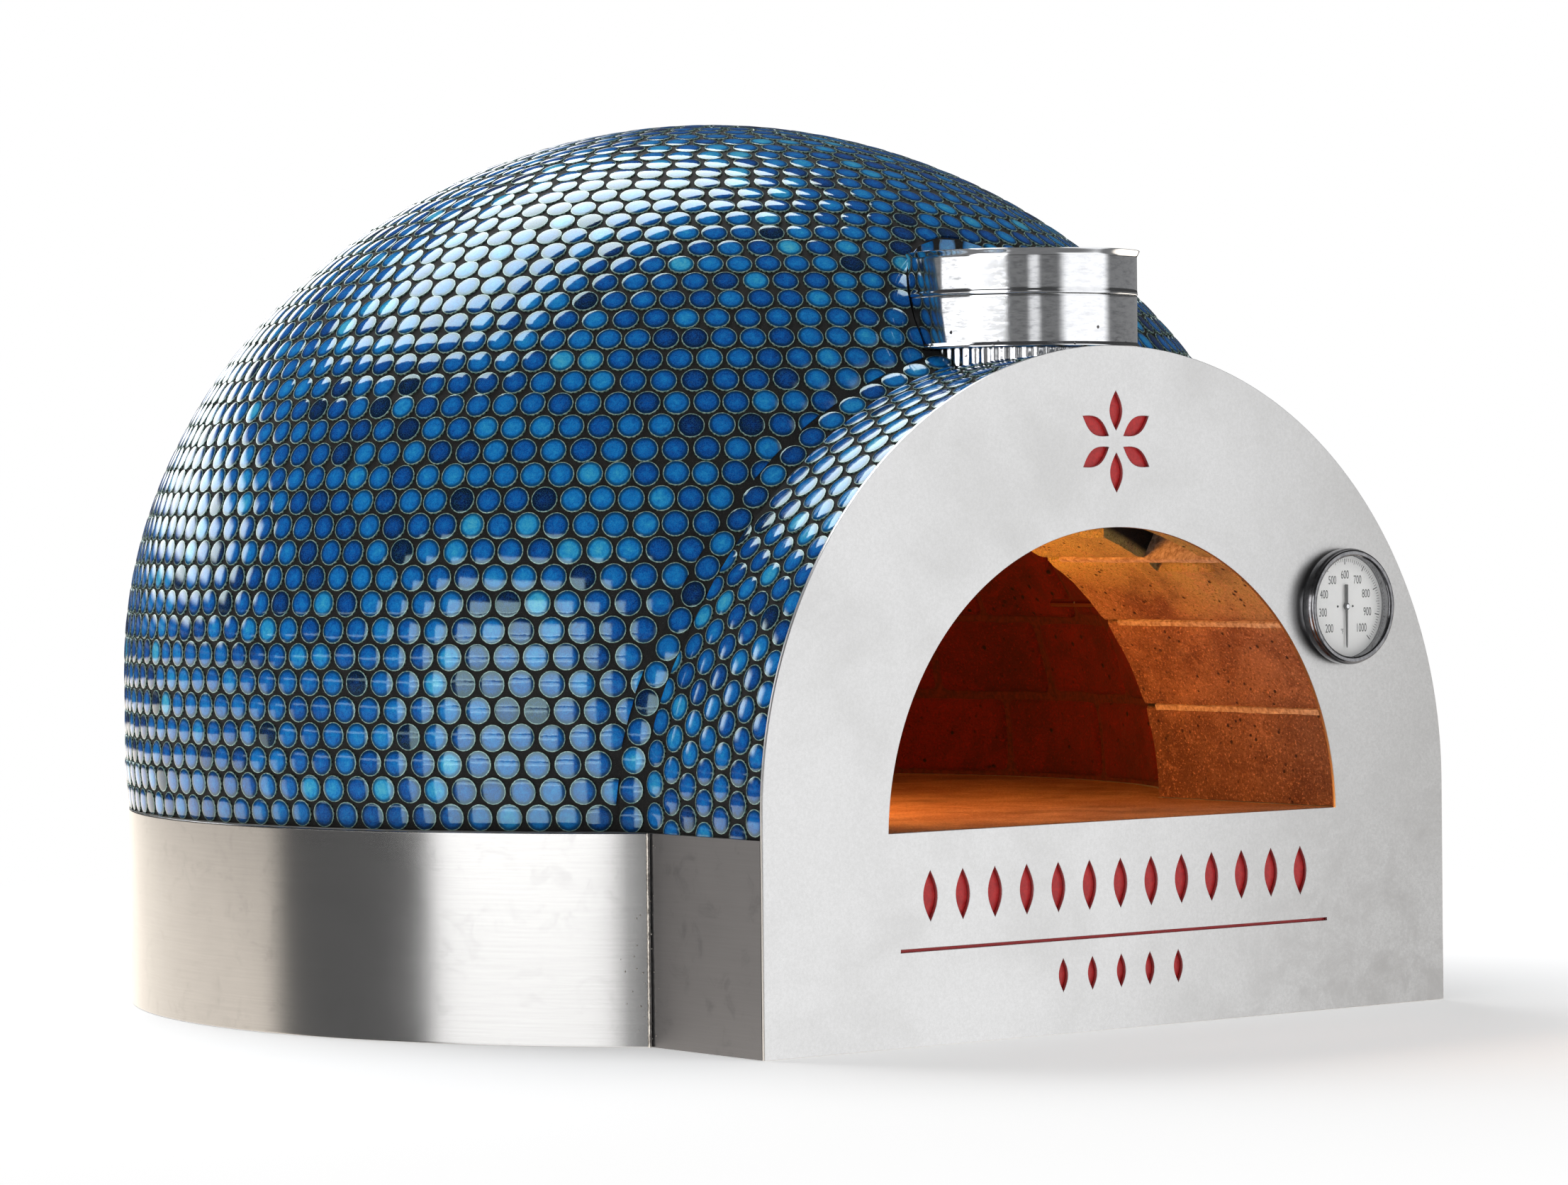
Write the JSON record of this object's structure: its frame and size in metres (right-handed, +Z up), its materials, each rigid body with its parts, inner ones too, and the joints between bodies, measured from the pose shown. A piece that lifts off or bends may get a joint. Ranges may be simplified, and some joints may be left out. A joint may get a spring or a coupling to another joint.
{
  "type": "wood fired pizza oven",
  "caption": "Domed wood fired oven: brick chamber under insulation and round mosaic tiles, steel base and arched steel front, flue collar and dial thermometer.",
  "frame": {"origin": "on the ground at the centre of the round base, on the underside of the floor pan", "axes": "+Z up, the mouth faces -Y, +X to the right as seen from the front"},
  "size_m": [0.948, 0.971, 0.688],
  "materials": {
    "brushed_steel": "satin stainless sheet, fine orbital grain",
    "polished_steel": "polished stainless",
    "weld_steel": "weld bead, heat tinted",
    "red_sheet": "red satin enamel",
    "insulating_concrete": "cast, matt",
    "firebrick": "rough terracotta firebrick with mortar joints",
    "ceramic_blanket": "white fibre",
    "render": "charcoal sanded render and grout",
    "dome_tile": "glossy mottled blue glaze with pale rims",
    "arch_tile": "glossy mottled blue glaze with pale rims",
    "clear_glass": "flat clear glass",
    "dial_white": "white satin enamel with black scale",
    "needle_black": "black satin",
    "brass": "turned brass"
  },
  "bodies": {
    "oven": {"front_plate": "brushed_steel", "base_skirt": "brushed_steel", "side_panel_left": "brushed_steel", "side_panel_right": "brushed_steel", "floor_pan": "brushed_steel", "plate_angle_left": "brushed_steel", "plate_angle_right": "brushed_steel", "corner_weld_left": "weld_steel", "corner_weld_right": "weld_steel", "emblem_backing": "red_sheet", "frieze_backing": "red_sheet", "base_block": "insulating_concrete", "hearth_tile_1": "firebrick", "hearth_tile_2": "firebrick", "hearth_tile_3": "firebrick", "hearth_tile_4": "firebrick", "entry_slab": "firebrick", "arch_block_right_1": "firebrick", "arch_block_right_2": "firebrick", "arch_block_right_3": "firebrick", "flue_block": "firebrick", "arch_block_left_3": "firebrick", "arch_block_left_2": "firebrick", "arch_block_left_1": "firebrick", "brick_course_1": "firebrick", "brick_course_2": "firebrick", "brick_course_3": "firebrick", "brick_course_4": "firebrick", "brick_course_5": "firebrick", "brick_course_6": "firebrick", "brick_course_7": "firebrick", "crown_plug": "firebrick", "insulation_blanket": "ceramic_blanket", "flue_packing": "ceramic_blanket", "render_shell": "render", "dome_mosaic": "dome_tile", "arch_mosaic": "arch_tile", "flue_spigot": "polished_steel", "flue_collar_lower": "polished_steel", "flue_collar_upper": "polished_steel", "flue_liner": "polished_steel", "flue_base_ring": "polished_steel", "flue_top_ring": "polished_steel", "gauge_case": "polished_steel", "gauge_bezel": "polished_steel", "gauge_stem": "polished_steel", "gauge_glass": "clear_glass", "gauge_dial": "dial_white", "gauge_bush": "brass", "gauge_nut": "brass", "bimetal_coil": "brass"},
    "needle": {"gauge_needle": "needle_black", "gauge_spindle": "polished_steel"}
  },
  "joints": [
    {"name": "needle_turn", "type": "hinge", "parent": "oven", "child": "needle", "pos_m": [0.22533, -0.472, 0.30345], "axis": [0, 1, 0], "range_deg": [-8, 315], "stiffness_Nm_per_rad": 0.002}
  ]
}
